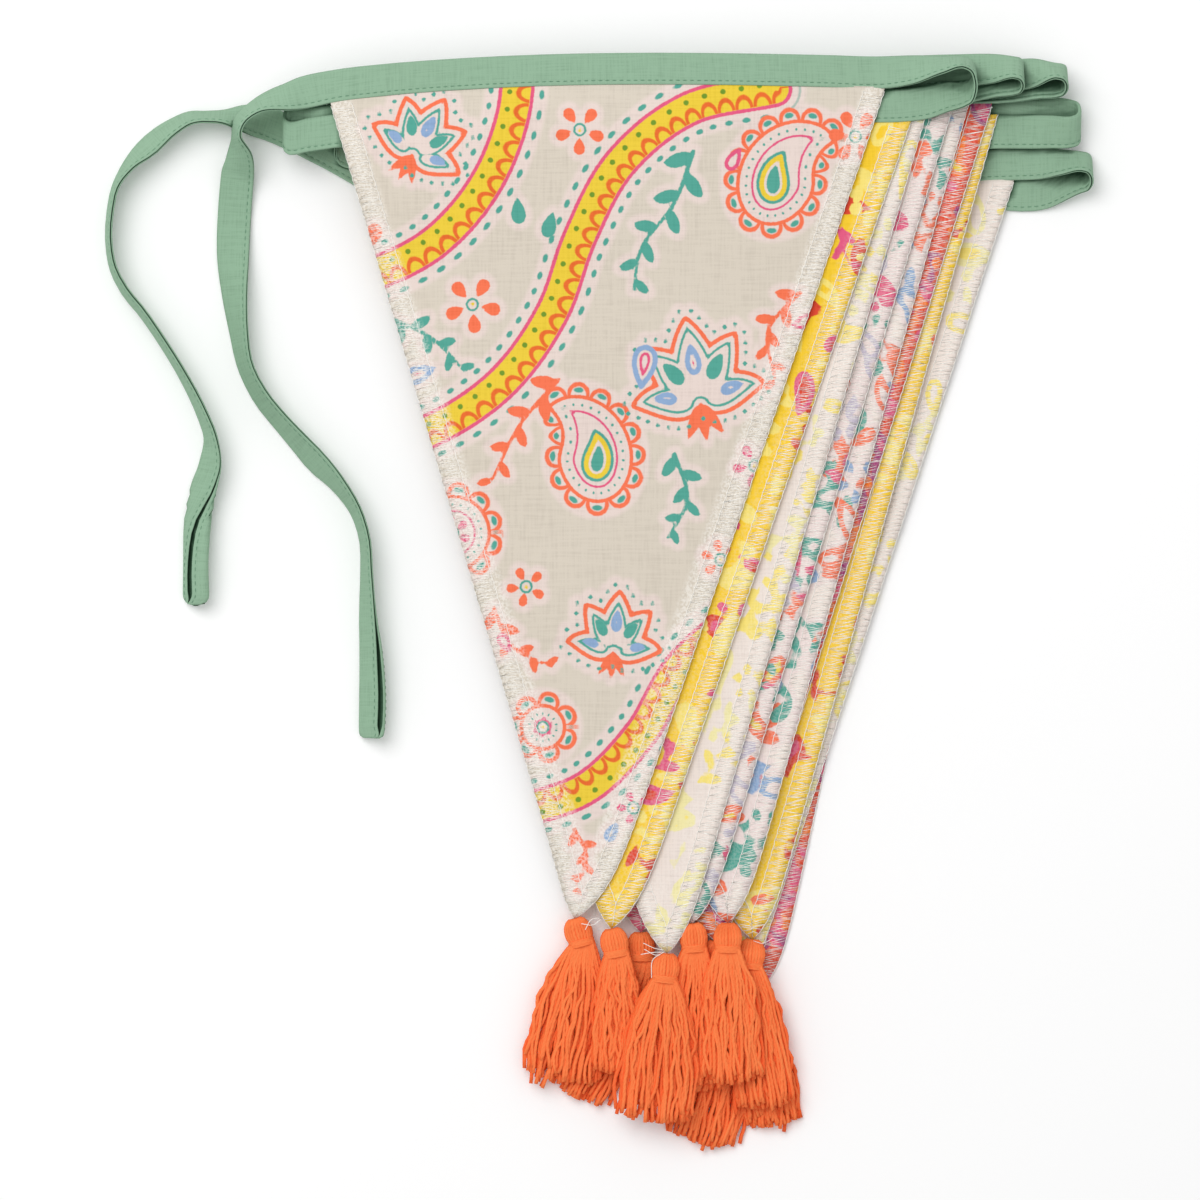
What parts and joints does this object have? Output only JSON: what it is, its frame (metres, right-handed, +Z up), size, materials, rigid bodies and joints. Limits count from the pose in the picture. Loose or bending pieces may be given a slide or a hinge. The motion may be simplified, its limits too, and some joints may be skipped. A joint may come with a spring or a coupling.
{
  "type": "fabric bunting",
  "caption": "String of pennant flags with yarn tassels on a folded tape binding with two ties, folded flag over flag and lying flat.",
  "frame": {"origin": "middle of the folded bunting's outline, on the surface that it lies on", "axes": "+Z up off the surface, +Y from the flags' tips to the binding, +X towards the binding's right-hand loops"},
  "size_m": [0.2959, 0.3293, 0.023],
  "materials": {
    "binding": "plain woven cotton tape, sage green",
    "cloth_taupe": "plain woven cotton, taupe, printed",
    "cloth_yellow": "plain woven cotton, yellow, printed",
    "cloth_cream": "plain woven cotton, cream, printed",
    "cloth_coral": "plain woven cotton, coral, printed",
    "tassel_yarn": "soft cotton yarn, orange"
  },
  "bodies": {
    "root": {"header": "binding", "flag_01": "cloth_taupe", "flag_02": "cloth_yellow", "flag_03": "cloth_cream", "flag_04": "cloth_cream", "flag_05": "cloth_cream", "flag_06": "cloth_coral", "flag_07": "cloth_yellow", "flag_08": "cloth_cream", "flag_09": "cloth_cream", "flag_10": "cloth_coral", "tassel_01": "tassel_yarn", "tassel_02": "tassel_yarn", "tassel_03": "tassel_yarn", "tassel_04": "tassel_yarn", "tassel_05": "tassel_yarn", "tassel_06": "tassel_yarn", "tassel_07": "tassel_yarn", "tassel_08": "tassel_yarn", "tassel_09": "tassel_yarn", "tassel_10": "tassel_yarn"}
  },
  "joints": []
}
